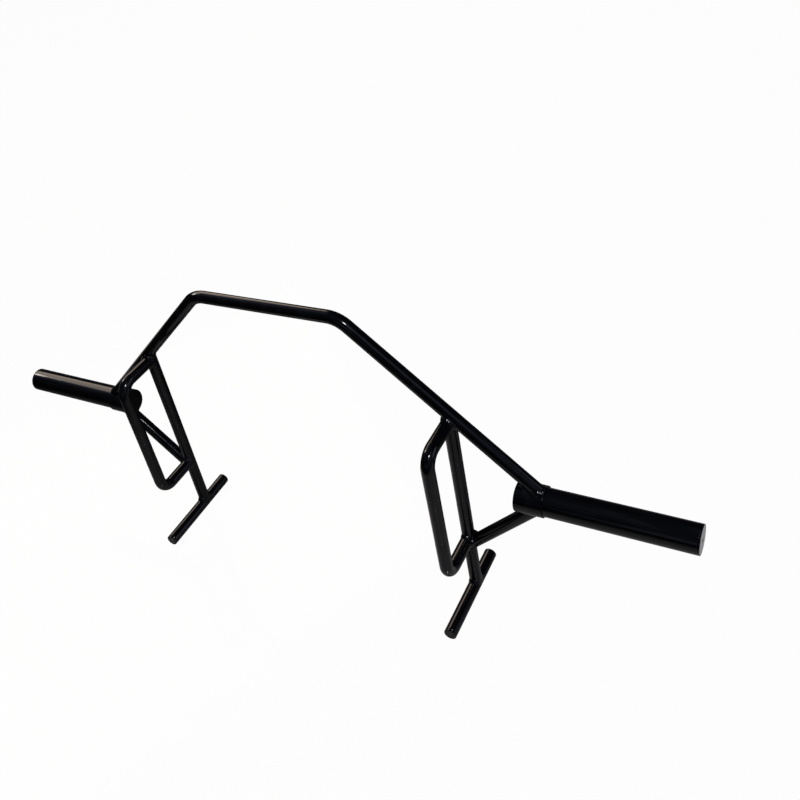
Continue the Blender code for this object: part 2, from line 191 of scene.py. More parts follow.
def linesOf(sign):
    # Each line starts where the bar's end meets the next centre line, and runs along the bar.
    braceRun = [sign * ((collarInner + shoulder) / 2 - gripX), 0, axisZ - collarRadius - braceFootZ]
    backRun = [-sign * np.cos(fall), 0, np.sin(fall)]
    return {
        "collar": barLine([sign * shoulder, frameY, axisZ], -sign * xWay, collarRadius),
        "backBar": barLine([sign * diagonalEndX, frameY, axisZ], backRun),
        "upright": barLine([sign * gripX, frameY, footZ], zWay),
        "uprightTop": barLine([sign * gripX, frameY, overGripZ], -zWay),
        "topLeg": barLine([sign * gripX, frameY, topLegZ], -yWay),
        "bottomLeg": barLine([sign * gripX, frameY, bottomLegZ], -yWay, halfLine=True),
        "brace": barLine([sign * gripX, frameY, braceFootZ], braceRun),
        "footBar": barLine([sign * gripX, frameY, footZ], yWay),
    }


def braceTopOf(line):
    # Where the brace's centre line reaches the height of the sleeves' axis, inside the collar.
    return line["point"] + line["along"] * (axisZ - braceFootZ) / line["along"][2]


def meeting(points, run, targets, clearance):
    # Along p + t * run, the first t where the distance from a target's axis is its radius plus
    # the clearance, from a quadratic in t. Where every target is missed, the nearest approach to
    # the first one.
    best = np.full(len(points), np.inf)
    nearest = None
    for target in targets:
        offset = squareTo(points - target["point"], target["along"])
        drift = squareTo(run, target["along"])
        a, b = drift @ drift, offset @ drift
        c = (offset ** 2).sum(-1) - (target["radius"] + clearance) ** 2
        inside = b * b - a * c
        t = (-b - np.sqrt(np.maximum(inside, 0))) / a
        met = inside > 0
        if target["halfLine"]:
            met &= (points + t[:, None] * run - target["point"]) @ target["along"] > 0
        best = np.where(met & (t < best), t, best)
        nearest = -b / a if nearest is None else nearest
    return np.where(np.isfinite(best), best, nearest)


def copeEnd(grid, row, centre, run, targets):
    # Moves one end ring along the bar to the face of what it is welded to, and returns where the
    # bar's middle meets it.
    slide = meeting(np.vstack([grid[row], centre]), run, targets, bars["clearance"])
    grid[row] += slide[:-1, None] * run
    return centre + slide[-1] * run


# Materials

def linear(code):
    # An sRGB hex colour as linear red, green and blue, with full alpha.
    channels = np.array([int(code[i:i + 2], 16) for i in (1, 3, 5)]) / 255
    curve = ((channels + 0.055) / 1.055) ** 2.4
    return (*np.where(channels <= 0.04045, channels / 12.92, curve), 1.0)


def addNode(tree, kind, settings=(), links=()):
    # settings go to attributes or to sockets by name or number; links are (own socket, other node,
    # its socket).
    node = tree.nodes.new(kind)
    for key, value in dict(settings).items():
        if isinstance(key, int) or key in node.inputs.keys():
            node.inputs[key].default_value = value
        else:
            setattr(node, key, value)
    for socket, other, output in links:
        tree.links.new(other.outputs[output], node.inputs[socket])
    return node


def newMaterial(name, settings):
    # settings go to the shader's own sockets.
    material = bpy.data.materials.new(name)
    material.use_nodes = True
    tree = material.node_tree
    shader = tree.nodes["Principled BSDF"]
    for socket, value in settings.items():
        shader.inputs[socket].default_value = value
    return material, tree, shader, addNode(tree, "ShaderNodeTexCoord")


# Waves and patches are sizes in millimetres. The haze starts and is full at two levels of its
# noise, and the paint's roughness there goes from its least to its most.
paintLook = {"clean": "#020203", "hazy": "#0b0c0f", "ior": 1.3, "wave": 4.0, "hazeStart": 0.46,
             "hazeFull": 0.78, "roughness": (0.072, 0.153)}
paints = {
    "glossBlackPowderCoat": {"waveHeight": 0.003 * millimetre, "patch": 22.0, "stretch": (1, 1, 1)},
    "glossBlackRubbedBySliding": {"waveHeight": 0.003 * millimetre, "patch": 9.0,
                                  "stretch": (0.1, 1, 1)},
    "glossBlackOverWeld": {"waveHeight": 0.01 * millimetre, "patch": 22.0, "stretch": (1, 1, 1)},
}


def makePaint(name, look):
    # Gloss black powder coat on steel: baked in an oven, so it is deep black with a slight orange
    # peel, waves some 4 mm long, that makes reflections a little uneven. Dust and rubbing leave
    # hazy patches, less black and less glossy, drawn out along one way where plates slide.
    material, tree, shader, place = newMaterial(name, {"IOR": paintLook["ior"]})
    wave = addNode(tree, "ShaderNodeTexNoise", {"Scale": 1000 / paintLook["wave"], "Detail": 1.0},
                   [("Vector", place, "Object")])
    bump = addNode(tree, "ShaderNodeBump", {"Strength": 1.0, "Distance": look["waveHeight"]},
                   [("Height", wave, "Fac")])
    drawn = addNode(tree, "ShaderNodeMapping", {"Scale": look["stretch"]},
                    [("Vector", place, "Object")])
    dust = addNode(tree, "ShaderNodeTexNoise",
                   {"Scale": 1000 / look["patch"], "Detail": 3.0, "Roughness": 0.6},
                   [("Vector", drawn, "Vector")])
    haze = addNode(tree, "ShaderNodeMapRange",
                   {"From Min": paintLook["hazeStart"], "From Max": paintLook["hazeFull"]},
                   [("Value", dust, "Fac")])
    least, most = paintLook["roughness"]
    gloss = addNode(tree, "ShaderNodeMapRange", {"To Min": least, "To Max": most},
                    [("Value", haze, "Result")])
    shade = addNode(tree, "ShaderNodeMix", {"data_type": "RGBA"}, [("Factor", haze, "Result")])
    shade.inputs["A"].default_value = linear(paintLook["clean"])
    shade.inputs["B"].default_value = linear(paintLook["hazy"])
    tree.links.new(bump.outputs["Normal"], shader.inputs["Normal"])
    tree.links.new(gloss.outputs["Result"], shader.inputs["Roughness"])
    tree.links.new(shade.outputs["Result"], shader.inputs["Base Color"])
    return material


# Bare turned steel: colours as sRGB hex, rings in millimetres
capLook = {"dull": "#c3c2bd", "bright": "#d9d8d3", "roughness": (0.26, 0.44),
           "cloudsPerMetre": 110.0, "ringSpacing": 1.2, "ringHeight": 0.014 * millimetre,
           "ringWobble": 0.6}


def makeCapSteel():
    # A lathe leaves fine rings round the middle, so lights smear across them, and handling leaves
    # the steel slightly cloudy. The rings are 1.2 mm apart, coarser than real to show. The wave
    # repeats every 2 pi / 20 of its scaled distance, and Mapping brings the sleeves' axis to its
    # middle.
    material, tree, shader, place = newMaterial("bareTurnedSteel", {"Metallic": 1.0})
    centred = addNode(tree, "ShaderNodeMapping", {"Location": (0.0, -frameY, -axisZ)},
                      [("Vector", place, "Object")])
    rings = addNode(tree, "ShaderNodeTexWave",
                    {"wave_type": "RINGS", "rings_direction": "X",
                     "Scale": 2 * np.pi / 20 * 1000 / capLook["ringSpacing"],
                     "Distortion": capLook["ringWobble"], "Detail": 2.0, "Detail Scale": 0.5},
                    [("Vector", centred, "Vector")])
    cloud = addNode(tree, "ShaderNodeTexNoise", {"Scale": capLook["cloudsPerMetre"], "Detail": 4.0},
                    [("Vector", place, "Object")])
    shades = addNode(tree, "ShaderNodeMix", {"data_type": "RGBA"}, [("Factor", cloud, "Fac")])
    shades.inputs["A"].default_value = linear(capLook["dull"])
    shades.inputs["B"].default_value = linear(capLook["bright"])
    least, most = capLook["roughness"]
    rough = addNode(tree, "ShaderNodeMapRange", {"To Min": least, "To Max": most},
                    [("Value", cloud, "Fac")])
    bump = addNode(tree, "ShaderNodeBump", {"Strength": 1.0, "Distance": capLook["ringHeight"]},
                   [("Height", rings, "Fac")])
    tree.links.new(shades.outputs["Result"], shader.inputs["Base Color"])
    tree.links.new(rough.outputs["Result"], shader.inputs["Roughness"])
    tree.links.new(bump.outputs["Normal"], shader.inputs["Normal"])
    return material


# Shafts are ground, so their marks run round them; bushings are sintered, with open grains that
# hold oil and look dark; zinc plate is thin and follows the rolled steel under it. The grain is in
# millimetres, and stretch packs it closer along x, y and z.
metals = {
    "groundShaftSteel": {"colour": "#9fa0a1", "tint": "#b4b5b6", "roughness": 0.22, "grain": 0.5,
                         "grainHeight": 0.004 * millimetre, "stretch": (8, 1, 1)},
    "oiledSinteredBronze": {"colour": "#4b3827", "tint": "#3a2b1f", "roughness": 0.45, "grain": 0.7,
                            "grainHeight": 0.02 * millimetre, "stretch": (1, 1, 1)},
    "zincPlate": {"colour": "#b7bcc1", "tint": "#c8cccf", "roughness": 0.36, "grain": 1.2,
                  "grainHeight": 0.01 * millimetre, "stretch": (1, 1, 1)},
}
metalPatchesPerMetre = 90.0


def makeMetal(name, look):
    # A bare metal: two near shades in soft patches, and fine tool marks drawn out along one way.
    material, tree, shader, place = newMaterial(
        name, {"Metallic": 1.0, "Roughness": look["roughness"]})
    drawn = addNode(tree, "ShaderNodeMapping", {"Scale": look["stretch"]},
                    [("Vector", place, "Object")])
    marks = addNode(tree, "ShaderNodeTexNoise", {"Scale": 1000 / look["grain"], "Detail": 3.0},
                    [("Vector", drawn, "Vector")])
    patches = addNode(tree, "ShaderNodeTexNoise", {"Scale": metalPatchesPerMetre, "Detail": 2.0},
                      [("Vector", place, "Object")])
    shades = addNode(tree, "ShaderNodeMix", {"data_type": "RGBA"}, [("Factor", patches, "Fac")])
    shades.inputs["A"].default_value = linear(look["colour"])
    shades.inputs["B"].default_value = linear(look["tint"])
    bump = addNode(tree, "ShaderNodeBump", {"Strength": 1.0, "Distance": look["grainHeight"]},
                   [("Height", marks, "Fac")])
    tree.links.new(shades.outputs["Result"], shader.inputs["Base Color"])
    tree.links.new(bump.outputs["Normal"], shader.inputs["Normal"])
    return material


print("materials")
paint, sleevePaint, weldPaint = [makePaint(name, look) for name, look in paints.items()]
capSteel = makeCapSteel()
groundSteel, bronze, zinc = [makeMetal(name, look) for name, look in metals.items()]


# Bars of the frame

knurl = {"length": 110 * millimetre, "aroundCount": 38, "depth": 0.3 * millimetre,
         "plainEnd": 0.3 * millimetre, "samples": 4}
gripColumns = knurl["aroundCount"] * knurl["samples"]
gripMiddleZ = (topLegZ + bottomLegZ) / 2


def knurledRows():
    # Rolled diamonds: with a the count round the bar and b the count along it, the surface is
    # pressed in by depth * the larger of |2 frac(a + b) - 1| and |2 frac(a - b) - 1|. They are
    # about 2 mm wide, coarser than real to show.
    pitch = 2 * np.pi * barRadius / knurl["aroundCount"]
    count = round(knurl["length"] / pitch)
    b = np.arange(count * knurl["samples"] + 1)[:, None] / knurl["samples"]
    a = np.arange(gripColumns)[None] / knurl["samples"]
    pressed = np.maximum(abs(2 * ((a + b) % 1) - 1), abs(2 * ((a - b) % 1) - 1))
    along = (b[:, 0] - count / 2) * pitch
    return along, barRadius - knurl["depth"] * pressed


def withPlainEnds(along, radii):
    # Two plain rows at each end of the band: the outer one keeps the long plain runs' shading true.
    reach = along[-1] + knurl["plainEnd"] * np.array([1, 2])
    plain = np.full((2, gripColumns), barRadius)
    return np.concatenate([-reach[::-1], along, reach]), np.vstack([plain, radii, plain])


gripAlong, gripRadii = withPlainEnds(*knurledRows())


def makeBackBar():
    # One bar bent twice, its line in the plane y = frameY, both ends coped onto the collars.
    end, corner = [diagonalEndX, frameY, axisZ], [cornerX, frameY, backBarZ]
    corners = np.array([end, corner, corner, end]) * [[-1, 1, 1], [-1, 1, 1], [1, 1, 1], [1, 1, 1]]
    centres, runs = roundCorners(corners, [backBar["bendRadius"]] * 2, bars["bendSteps"],
                                 bars["bendHold"])
    grid = tubeGrid(centres, runs, yWay, barRadius, bars["columns"])
    ends = [copeEnd(grid, 0, centres[0], -runs[0], [linesOf(-1)["collar"]]),
            copeEnd(grid, -1, centres[-1], runs[-1], [linesOf(1)["collar"]])]
    standIn(surfaceObject("backBar", grid, paint, ends=ends), "back_bar")


def makeUpright(side, lines):
    # A straight bar with a knurled band in the middle, coped on the foot bar and the back bar.
    heights = np.concatenate([[footZ], gripMiddleZ + gripAlong, [overGripZ]])
    centres = np.tile(lines["upright"]["point"], (len(heights), 1))
    centres[:, 2] = heights
    plain = np.full((1, gripColumns), barRadius)
    radii = np.vstack([plain, gripRadii, plain])
    grid = tubeGrid(centres, np.tile(zWay, (len(heights), 1)), xWay, radii, gripColumns)
    ends = [copeEnd(grid, 0, centres[0], -zWay, [lines["footBar"]]),
            copeEnd(grid, -1, centres[-1], zWay, [lines["backBar"]])]
    standIn(surfaceObject("upright." + side, grid, paint, ends=ends), "upright_" + side)


loop = {"bendRadius": 28 * millimetre}


def makeHandleLoop(side, lines):
    # A U in a plane of constant x: leg, bend, knurled outer run, bend, leg. The legs end on the
    # upright, and the top one on the back bar too.
    x = lines["upright"]["point"][0]
    top, bottom = gripMiddleZ + gripAlong[-1], gripMiddleZ + gripAlong[0]
    route = np.array([[x, frameY, topLegZ], [x, outerGripY, topLegZ], [x, outerGripY, top],
                      [x, outerGripY, bottom], [x, outerGripY, bottomLegZ],
                      [x, frameY, bottomLegZ]])
    bend = [loop["bendRadius"]], bars["bendSteps"], bars["bendHold"]
    upper, upperRuns = roundCorners(route[:3], *bend)
    lower, lowerRuns = roundCorners(route[3:], *bend)
    band = np.array([x, outerGripY, gripMiddleZ]) - gripAlong[1:-1, None] * zWay
    centres = np.vstack([upper, band, lower])
    runs = np.vstack([upperRuns, np.tile(-zWay, (len(band), 1)), lowerRuns])
    radii = np.vstack([np.full((len(upper), gripColumns), barRadius), gripRadii[1:-1],
                       np.full((len(lower), gripColumns), barRadius)])
    grid = tubeGrid(centres, runs, xWay, radii, gripColumns)
    ends = [copeEnd(grid, 0, centres[0], yWay, [lines["upright"], lines["backBar"]]),
            copeEnd(grid, -1, centres[-1], yWay, [lines["upright"]])]
    standIn(surfaceObject("handleLoop." + side, grid, paint, ends=ends), "handle_loop_" + side)


def makeBrace(side, lines):
    # A straight slanted bar, coped on the upright and the loop's bottom leg, and on the collar.
    run = lines["brace"]["along"]
    centres = np.array([lines["brace"]["point"], braceTopOf(lines["brace"])])
    grid = tubeGrid(centres, np.array([run, run]), yWay, barRadius, bars["columns"])
    ends = [copeEnd(grid, 0, centres[0], -run, [lines["upright"], lines["bottomLeg"]]),
            copeEnd(grid, -1, centres[-1], run, [lines["collar"]])]
    standIn(surfaceObject("brace." + side, grid, paint, ends=ends), "brace_" + side)


foot = {"ease": 1.6 * millimetre, "seamFromEnd": 3.8 * millimetre,
        "seamHalfWidth": 1.2 * millimetre, "seamDepth": 0.6 * millimetre,
        "seamEdge": 0.6 * millimetre, "fanRadius": 2 * millimetre}


def makeFootBar(side, lines):
    # A turned bar along y with its two end edges eased. A shallow groove near each end is the seam
    # of the plug that closes it.
    x = lines["footBar"]["point"][0]
    ends = [np.array([x, footLow[1], footZ]), np.array([x, footHigh[1], footZ])]
    length, middle, half = footHigh[1] - footLow[1], foot["seamFromEnd"], foot["seamHalfWidth"]
    firstEnd = [[0, foot["fanRadius"]], [0, barRadius], [middle - half, barRadius],
                [middle, barRadius - foot["seamDepth"]], [middle + half, barRadius]]
    corners = firstEnd + [[length - along, radius] for along, radius in firstEnd[::-1]]
    rounding = [foot["ease"], *[foot["seamEdge"]] * 6, foot["ease"]]
    grid = turnedGrid(ends[0], yWay, xWay, corners, rounding, bars["columns"])
    standIn(surfaceObject("footBar." + side, grid, paint, ends=ends), "foot_bar_" + side)


# Welds

weld = {"leg": 5.0 * millimetre, "acuteGain": 0.8, "rootGap": 0.6 * millimetre,
        "sink": 0.15 * millimetre, "crown": 0.4 * millimetre, "depth": 1.2 * millimetre,
        "ripplePitch": 3.2 * millimetre, "rippleHeight": 0.1 * millimetre, "rippleBow": 2.4,
        "rippleCrest": 0.3, "shoulderEdge": 1.0 * millimetre, "steps": 320, "faceSteps": 10,
        "kinkReach": 5, "toeTries": 2, "halfTurn": (np.radians(18), np.radians(162)),
        "taper": 0.14, "endSize": 0.15}


def evened(values, reach):
    # Mean over neighbours round a closed ring, which rounds the kink where two targets meet.
    return sum(np.roll(values, shift, 0) for shift in range(-reach, reach + 1)) / (2 * reach + 1)


def nearestTarget(points, targets):
    # Distance from each point to the nearest target's surface, and the direction out of it.
    offsets = np.array([squareTo(points - target["point"], target["along"]) for target in targets])
    gaps = np.linalg.norm(offsets, axis=-1) - np.array([[target["radius"]] for target in targets])
    pick = gaps.argmin(0), np.arange(len(points))
    return gaps[pick], unit(offsets[pick])


def makeWeld(name, bar, targets, node, partTurn):
    # A fillet bead. Its root is where each side line of the bar comes near a target. From there
    # one toe goes a leg's length back along the bar and one along the target, each square to the
    # root's run; a corner sharper than square gets legs longer by acuteGain * its cosine. The face
    # is the chord between the toes at its share w, raised by crown * 4w(1 - w) and by crescent
    # ripples: rippleHeight * sqrt(4w(1 - w)) * (sin p + rippleCrest * sin 2p), where the phase p
    # is 2 pi a ripple plus rippleBow * (2w - 1)^2. A bead that goes part of the way round tapers
    # at its ends as the square root of the angle left.
    along = bar["along"]
    angle = (np.linspace(*weld["halfTurn"], weld["steps"] // 2) if partTurn
             else np.arange(weld["steps"]) * 2 * np.pi / weld["steps"])[:, None]
    sideWay = xWay if abs(along[1]) == 1 else unit(np.cross(yWay, along))
    barOut = np.cos(angle) * sideWay + np.sin(angle) * np.cross(along, sideWay)
    start = bar["point"] + bar["radius"] * barOut
    root = start - meeting(start, -along, targets, weld["rootGap"])[:, None] * along
    _, targetOut = nearestTarget(root, targets)
    if len(targets) > 1:
        root = evened(root, weld["kinkReach"])
        targetOut = unit(evened(targetOut, weld["kinkReach"]))
    if partTurn:
        tangent = unit(np.gradient(root, axis=0))
        left = np.minimum(angle - angle[0], angle[-1] - angle)
        size = np.clip(left / weld["taper"], weld["endSize"], 1) ** 0.5
    else:
        tangent = unit(np.roll(root, -1, 0) - np.roll(root, 1, 0))
        size = 1.0
    upBar, upTarget = np.cross(barOut, tangent), np.cross(targetOut, tangent)
    upBar *= np.sign((upBar * along).sum(-1, keepdims=True))
    upTarget *= np.sign((upTarget * (barOut - along)).sum(-1, keepdims=True))
    sharpness = np.clip((upBar * upTarget).sum(-1, keepdims=True), 0, 1)
    size = size * (1 + weld["acuteGain"] * sharpness)
    # Both toes are sunk a little below their surfaces.
    barToe = root + weld["leg"] * size * upBar
    offset = squareTo(barToe - bar["point"], along)
    barToe += unit(offset) * (bar["radius"] - weld["sink"]) - offset
    targetToe = root + weld["leg"] * size * upTarget
    for _ in range(weld["toeTries"]):
        gap, out = nearestTarget(targetToe, targets)
        targetToe -= (gap + weld["sink"])[:, None] * out
    w = np.linspace(0, 1, weld["faceSteps"])[None, :, None]
    step = np.linalg.norm(np.diff(root, axis=0, append=root[:1]), axis=-1)
    travel = np.cumsum(step) - step
    ripples = max(1, round(step.sum() / weld["ripplePitch"]))
    phase = (2 * np.pi * ripples * (travel / step.sum())[:, None, None]
             + weld["rippleBow"] * (2 * w - 1) ** 2)
    swell = 4 * w * (1 - w)
    ripple = np.sin(phase) + weld["rippleCrest"] * np.sin(2 * phase)
    height = weld["crown"] * swell + weld["rippleHeight"] * swell ** 0.5 * ripple
    lift = unit(barOut + targetOut)[:, None]
    face = (barToe[:, None] * (1 - w) + targetToe[:, None] * w
            + height * np.asarray(size)[..., None] * lift)
    under = (root - weld["depth"] * lift[:, 0])[:, None]
    grid = np.concatenate([face, under], axis=1)
    limit = shoulder - weld["shoulderEdge"]    # no bead reaches the plates' stop
    grid[..., 0] = np.clip(grid[..., 0], -limit, limit)
    ends = [grid[0].mean(0), grid[-1].mean(0)] if partTurn else ()
    standIn(surfaceObject(name, grid, weldPaint, closedRows=not partTurn, ends=ends), node)


def makeWelds(side, lines):
    # Piece, bar, what it is welded to, CAD node, and whether the bead goes part of the way round.
    braceTop = barLine(braceTopOf(lines["brace"]), -lines["brace"]["along"])
    for name, bar, targets, node, partTurn in (
            ("weldBackBar.", lines["backBar"], ["collar"], "weld_back_bar_", False),
            ("weldBraceTop.", braceTop, ["collar"], "weld_brace_top_", False),
            ("weldBraceFoot.", lines["brace"], ["upright"], "weld_brace_bottom_", True),
            ("weldUprightTop.", lines["uprightTop"], ["backBar"], "weld_upright_top_", True),
            ("weldUprightFoot.", lines["upright"], ["footBar"], "weld_upright_foot_", False),
            ("weldLoopTop.", lines["topLeg"], ["upright", "backBar"], "weld_loop_top_", False),
            ("weldLoopBottom.", lines["bottomLeg"], ["upright", "brace"], "weld_loop_bottom_",
             False)):
        makeWeld(name + side, bar, [lines[target] for target in targets], node + side, partTurn)


# Collars, sleeves and end caps, turned about the sleeves' axis

shaftRadius, counterboreWall = 15 * millimetre, 2.8 * millimetre
turnedGap = 0.3 * millimetre
collar = {"edge": 0.9 * millimetre, "stopEdge": 0.7 * millimetre, "recessEdge": 0.1 * millimetre,
          "boreEdge": 0.3 * millimetre, "recess": 0.5 * millimetre, "floor": 8 * millimetre,
          "fanRadius": 4 * millimetre}


def makeCollar(side, sign):
    # Profile: inner face, outside, plate stop, shallow recess and blind bore for the shaft.
    bore, stop = shaftRadius + turnedGap, sleeveRadius + turnedGap
    floorX, recessX = collarInner + collar["floor"], shoulder - collar["recess"]
    corners = [[collarInner, collar["fanRadius"]], [collarInner, collarRadius],
               [shoulder, collarRadius], [shoulder, stop], [recessX, stop], [recessX, bore],
               [floorX, bore], [floorX, collar["fanRadius"]]]
    rounding = [collar["edge"], collar["stopEdge"], collar["recessEdge"], collar["recessEdge"],
                collar["boreEdge"], collar["boreEdge"]]
    grid = turnedGrid(axisOrigin, sign * xWay, yWay, corners, rounding, hold=lathe["closeHold"])
    ends = [axisOrigin + sign * collarInner * xWay, axisOrigin + sign * floorX * xWay]
    standIn(surfaceObject("collar." + side, grid, paint, ends=ends), "collar_" + side)


sleeve = {"wall": 5 * millimetre, "flange": 3 * millimetre, "endEdge": 0.9 * millimetre,
          "seamEdge": 0.3 * millimetre, "boreEdge": 0.3 * millimetre}


def makeSleeve(side, sign):
    # Profile: from mid-bore out through one counterbore, over the outside, and back to mid-bore.
    # The counterbores end where the bushings' flanges do.
    edge, small = sleeve["endEdge"], sleeve["boreEdge"]
    bore, counterbore = sleeveRadius - sleeve["wall"], sleeveRadius - counterboreWall
    start, end = sleeveLow[0], sleeveHigh[0]
    innerSeat = boxOf("inner_bushing_right")[0][0] + sleeve["flange"] + turnedGap
    outerSeat = boxOf("outer_bushing_right")[1][0] - sleeve["flange"] - turnedGap
    middle = (start + end) / 2
    corners = [[middle - edge, bore], [innerSeat, bore], [innerSeat, counterbore],
               [start, counterbore], [start, sleeveRadius], [end, sleeveRadius],
               [end, counterbore], [outerSeat, counterbore], [outerSeat, bore],
               [middle + edge, bore]]
    rounding = [small, small, small, sleeve["seamEdge"], edge, small, small, small]
    grid = turnedGrid(axisOrigin, sign * xWay, yWay, corners, rounding)
    standIn(surfaceObject("sleeve." + side, grid, sleevePaint, closedRows=True), "sleeve_" + side,
            side + "_sleeve")


cap = {"thickness": 3 * millimetre, "holeRadius": 2.5 * millimetre, "countersink": 1.2 * millimetre,
       "edge": 0.5 * millimetre, "innerEdge": 0.2 * millimetre, "paintOverEdge": 0.35,
       "paintPastHole": 0.1 * millimetre}


def makeEndCap(side, sign):
    # Profile: countersunk centre hole, outer face, rim, and the spigot inside the sleeve.
    small, edge, sink = cap["innerEdge"], cap["edge"], cap["countersink"]
    hole, spigot = cap["holeRadius"], sleeveRadius - counterboreWall - turnedGap
    face, back = capHigh[0], capHigh[0] - cap["thickness"]
    middle = (capLow[0] + face) / 2
    corners = [[middle, hole], [face - sink, hole], [face, hole + sink], [face, sleeveRadius],
               [back, sleeveRadius], [back, spigot], [capLow[0], spigot], [capLow[0], hole],
               [middle - edge, hole]]
    rounding = [small, small, edge, small, small, small, small]
    grid = turnedGrid(axisOrigin, sign * xWay, yWay, corners, rounding, hold=lathe["closeHold"])
    # The sleeve's paint runs on over the rim. The countersink and hole are black paint too, a
    # painted shade that makes the hole read dark; only the face was left bare.
    fromAxis = np.linalg.norm(grid[:, 0, 1:] - [frameY, axisZ], axis=-1)
    onRim = fromAxis > sleeveRadius - cap["paintOverEdge"] * edge
    holeShadePaint = fromAxis < hole + sink + cap["paintPastHole"]
    painted = np.flatnonzero((onRim | holeShadePaint) & np.roll(onRim | holeShadePaint, -1))
    piece = surfaceObject("endCap." + side, grid, capSteel, closedRows=True, second=paint,
                          secondRows=painted)
    standIn(piece, "end_cap_" + side, side + "_sleeve")


makeBackBar()
for side, sign in sideSigns.items():
    lines = linesOf(sign)
    makeUpright(side, lines)
    makeHandleLoop(side, lines)
    makeBrace(side, lines)
    makeFootBar(side, lines)
    print("bars,", side)
    makeWelds(side, lines)
    print("welds,", side)
    makeCollar(side, sign)
    makeSleeve(side, sign)
    makeEndCap(side, sign)
    for node, material in (("stub_shaft_", groundSteel), ("inner_bushing_", bronze),
                           ("outer_bushing_", bronze), ("retaining_washer_", zinc),
                           ("retaining_bolt_", zinc)):
        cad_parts[node + side].material_slots[0].material = material
    print("collar, sleeve and cap,", side)


# Floor, light and camera

studio = {"floorRadius": 60.0, "floorPoints": 64, "floorColour": "#b4b4b4", "floorRoughness": 0.12,
          "floorSpecular": 0.9, "cameraGlow": 0.975, "reflectedGlow": 0.04, "paintedShadeLevel": 0.015}
# Painted light on the floor, seen only in reflections: inside these ellipses the floor shows as the
# lamps light it, and outside them it is painted shade, a dim glow. Each has a middle and half-sizes
# in metres, full up to a share of its reach and faded at its end.
paintedLightPools = {
    "frontRight": {"middle": (1.2, -0.22), "half": (2.4, 0.7), "full": 0.35},
    "leftGrips": {"middle": (-0.15, -0.3), "half": (0.55, 0.45), "full": 0.3},
    "besideCap": {"middle": (1.0, 0.4), "half": (0.45, 0.4), "full": 0.5},
    "behind": {"middle": (0.1, 2.5), "half": (2.6, 2.0), "full": 0.7},
    "leftSide": {"middle": (-2.0, 0.7), "half": (1.2, 0.9), "full": 0.5},
}


def makeFloor():
    # A flat disc painted pale grey, with a slight gloss that mirrors the front lamp under the
    # loops' lower bends. Most of what the camera sees of it is an even white glow, so the
    # background is nearly white and keeps a faint shadow. In reflections it shows as lit in its
    # pools, and beyond them it fades into painted shade with distance from each pool's middle.
    angle = np.arange(studio["floorPoints"]) * 2 * np.pi / studio["floorPoints"]
    rim = studio["floorRadius"] * np.stack([np.cos(angle), np.sin(angle), 0 * angle], -1)
    mesh = bpy.data.meshes.new("floor")
    mesh.from_pydata(rim.tolist(), [], [list(range(len(rim)))])
    material, tree, shader, place = newMaterial("paleFloor", {
        "Base Color": linear(studio["floorColour"]), "Roughness": studio["floorRoughness"],
        "Specular IOR Level": studio["floorSpecular"]})
    glow = addNode(tree, "ShaderNodeEmission", {"Strength": 1.0})
    rays = addNode(tree, "ShaderNodeLightPath")
    mirrored = addNode(tree, "ShaderNodeMath", {"operation": "MAXIMUM"},
                       [(0, rays, "Is Glossy Ray"), (1, rays, "Is Transmission Ray")])
    forMirror = addNode(tree, "ShaderNodeMath",
                        {"operation": "MULTIPLY", 1: studio["reflectedGlow"]},
                        [(0, mirrored, "Value")])
    forCamera = addNode(tree, "ShaderNodeMath", {"operation": "MULTIPLY", 1: studio["cameraGlow"]},
                        [(0, rays, "Is Camera Ray")])
    share = addNode(tree, "ShaderNodeMath", {"operation": "MAXIMUM"},
                    [(0, forMirror, "Value"), (1, forCamera, "Value")])
    lit = addNode(tree, "ShaderNodeMixShader", {},
                  [("Fac", share, "Value"), (1, shader, "BSDF"), (2, glow, "Emission")])
    paintedShadeShare = mirrored
    for pool in paintedLightPools.values():
        (middleX, middleY), (halfX, halfY) = pool["middle"], pool["half"]
        centred = addNode(tree, "ShaderNodeMapping",
                          {"Scale": (1 / halfX, 1 / halfY, 1.0),
                           "Location": (-middleX / halfX, -middleY / halfY, 0.0)},
                          [("Vector", place, "Object")])
        reach = addNode(tree, "ShaderNodeVectorMath", {"operation": "LENGTH"},
                        [("Vector", centred, "Vector")])
        fade = addNode(tree, "ShaderNodeMapRange", {"From Min": pool["full"]},
                       [("Value", reach, "Value")])
        paintedShadeShare = addNode(tree, "ShaderNodeMath", {"operation": "MULTIPLY"},
                         [(0, paintedShadeShare, "Value"), (1, fade, "Result")])
    # Painted shade: beyond the pools, reflections see this dim glow instead of the lit floor.
    paintedShadeGlow = addNode(tree, "ShaderNodeEmission", {"Strength": studio["paintedShadeLevel"]})
    seen = addNode(tree, "ShaderNodeMixShader", {},
                   [("Fac", paintedShadeShare, "Value"), (1, lit, "Shader"), (2, paintedShadeGlow, "Emission")])
    tree.links.new(seen.outputs["Shader"], tree.nodes["Material Output"].inputs["Surface"])
    mesh.materials.append(material)
    floor = bpy.data.objects.new("floor", mesh)
    bpy.context.scene.collection.objects.link(floor)


ceiling = {"level": 0.05, "colour": "#c3cdea"}
# Soft glows on the walls: azimuth from +x towards +y and elevation in degrees, then half-widths
# of the full and faded parts, and the level each adds.
wallGlows = {
    "frontWall": {"azimuth": -92, "elevation": 9, "full": 6, "faded": 16, "level": 0.45},
    "rightWall": {"azimuth": -38, "elevation": 47, "full": 6, "faded": 26, "level": 0.8},
    "above": {"azimuth": -120, "elevation": 68, "full": 8, "faded": 60, "level": 0.14},
    "rightLow": {"azimuth": -25, "elevation": 4, "full": 20, "faded": 45, "level": 0.35},
    "behindLeft": {"azimuth": 172, "elevation": 46, "full": 14, "faded": 30, "level": 0.5},
    "rightSide": {"azimuth": 14, "elevation": 15, "full": 8, "faded": 22, "level": 2.0},
}


def wayTo(azimuth, elevation):
    across, up = np.radians([azimuth, elevation])
    return np.array([np.cos(up) * np.cos(across), np.cos(up) * np.sin(across), np.sin(up)])


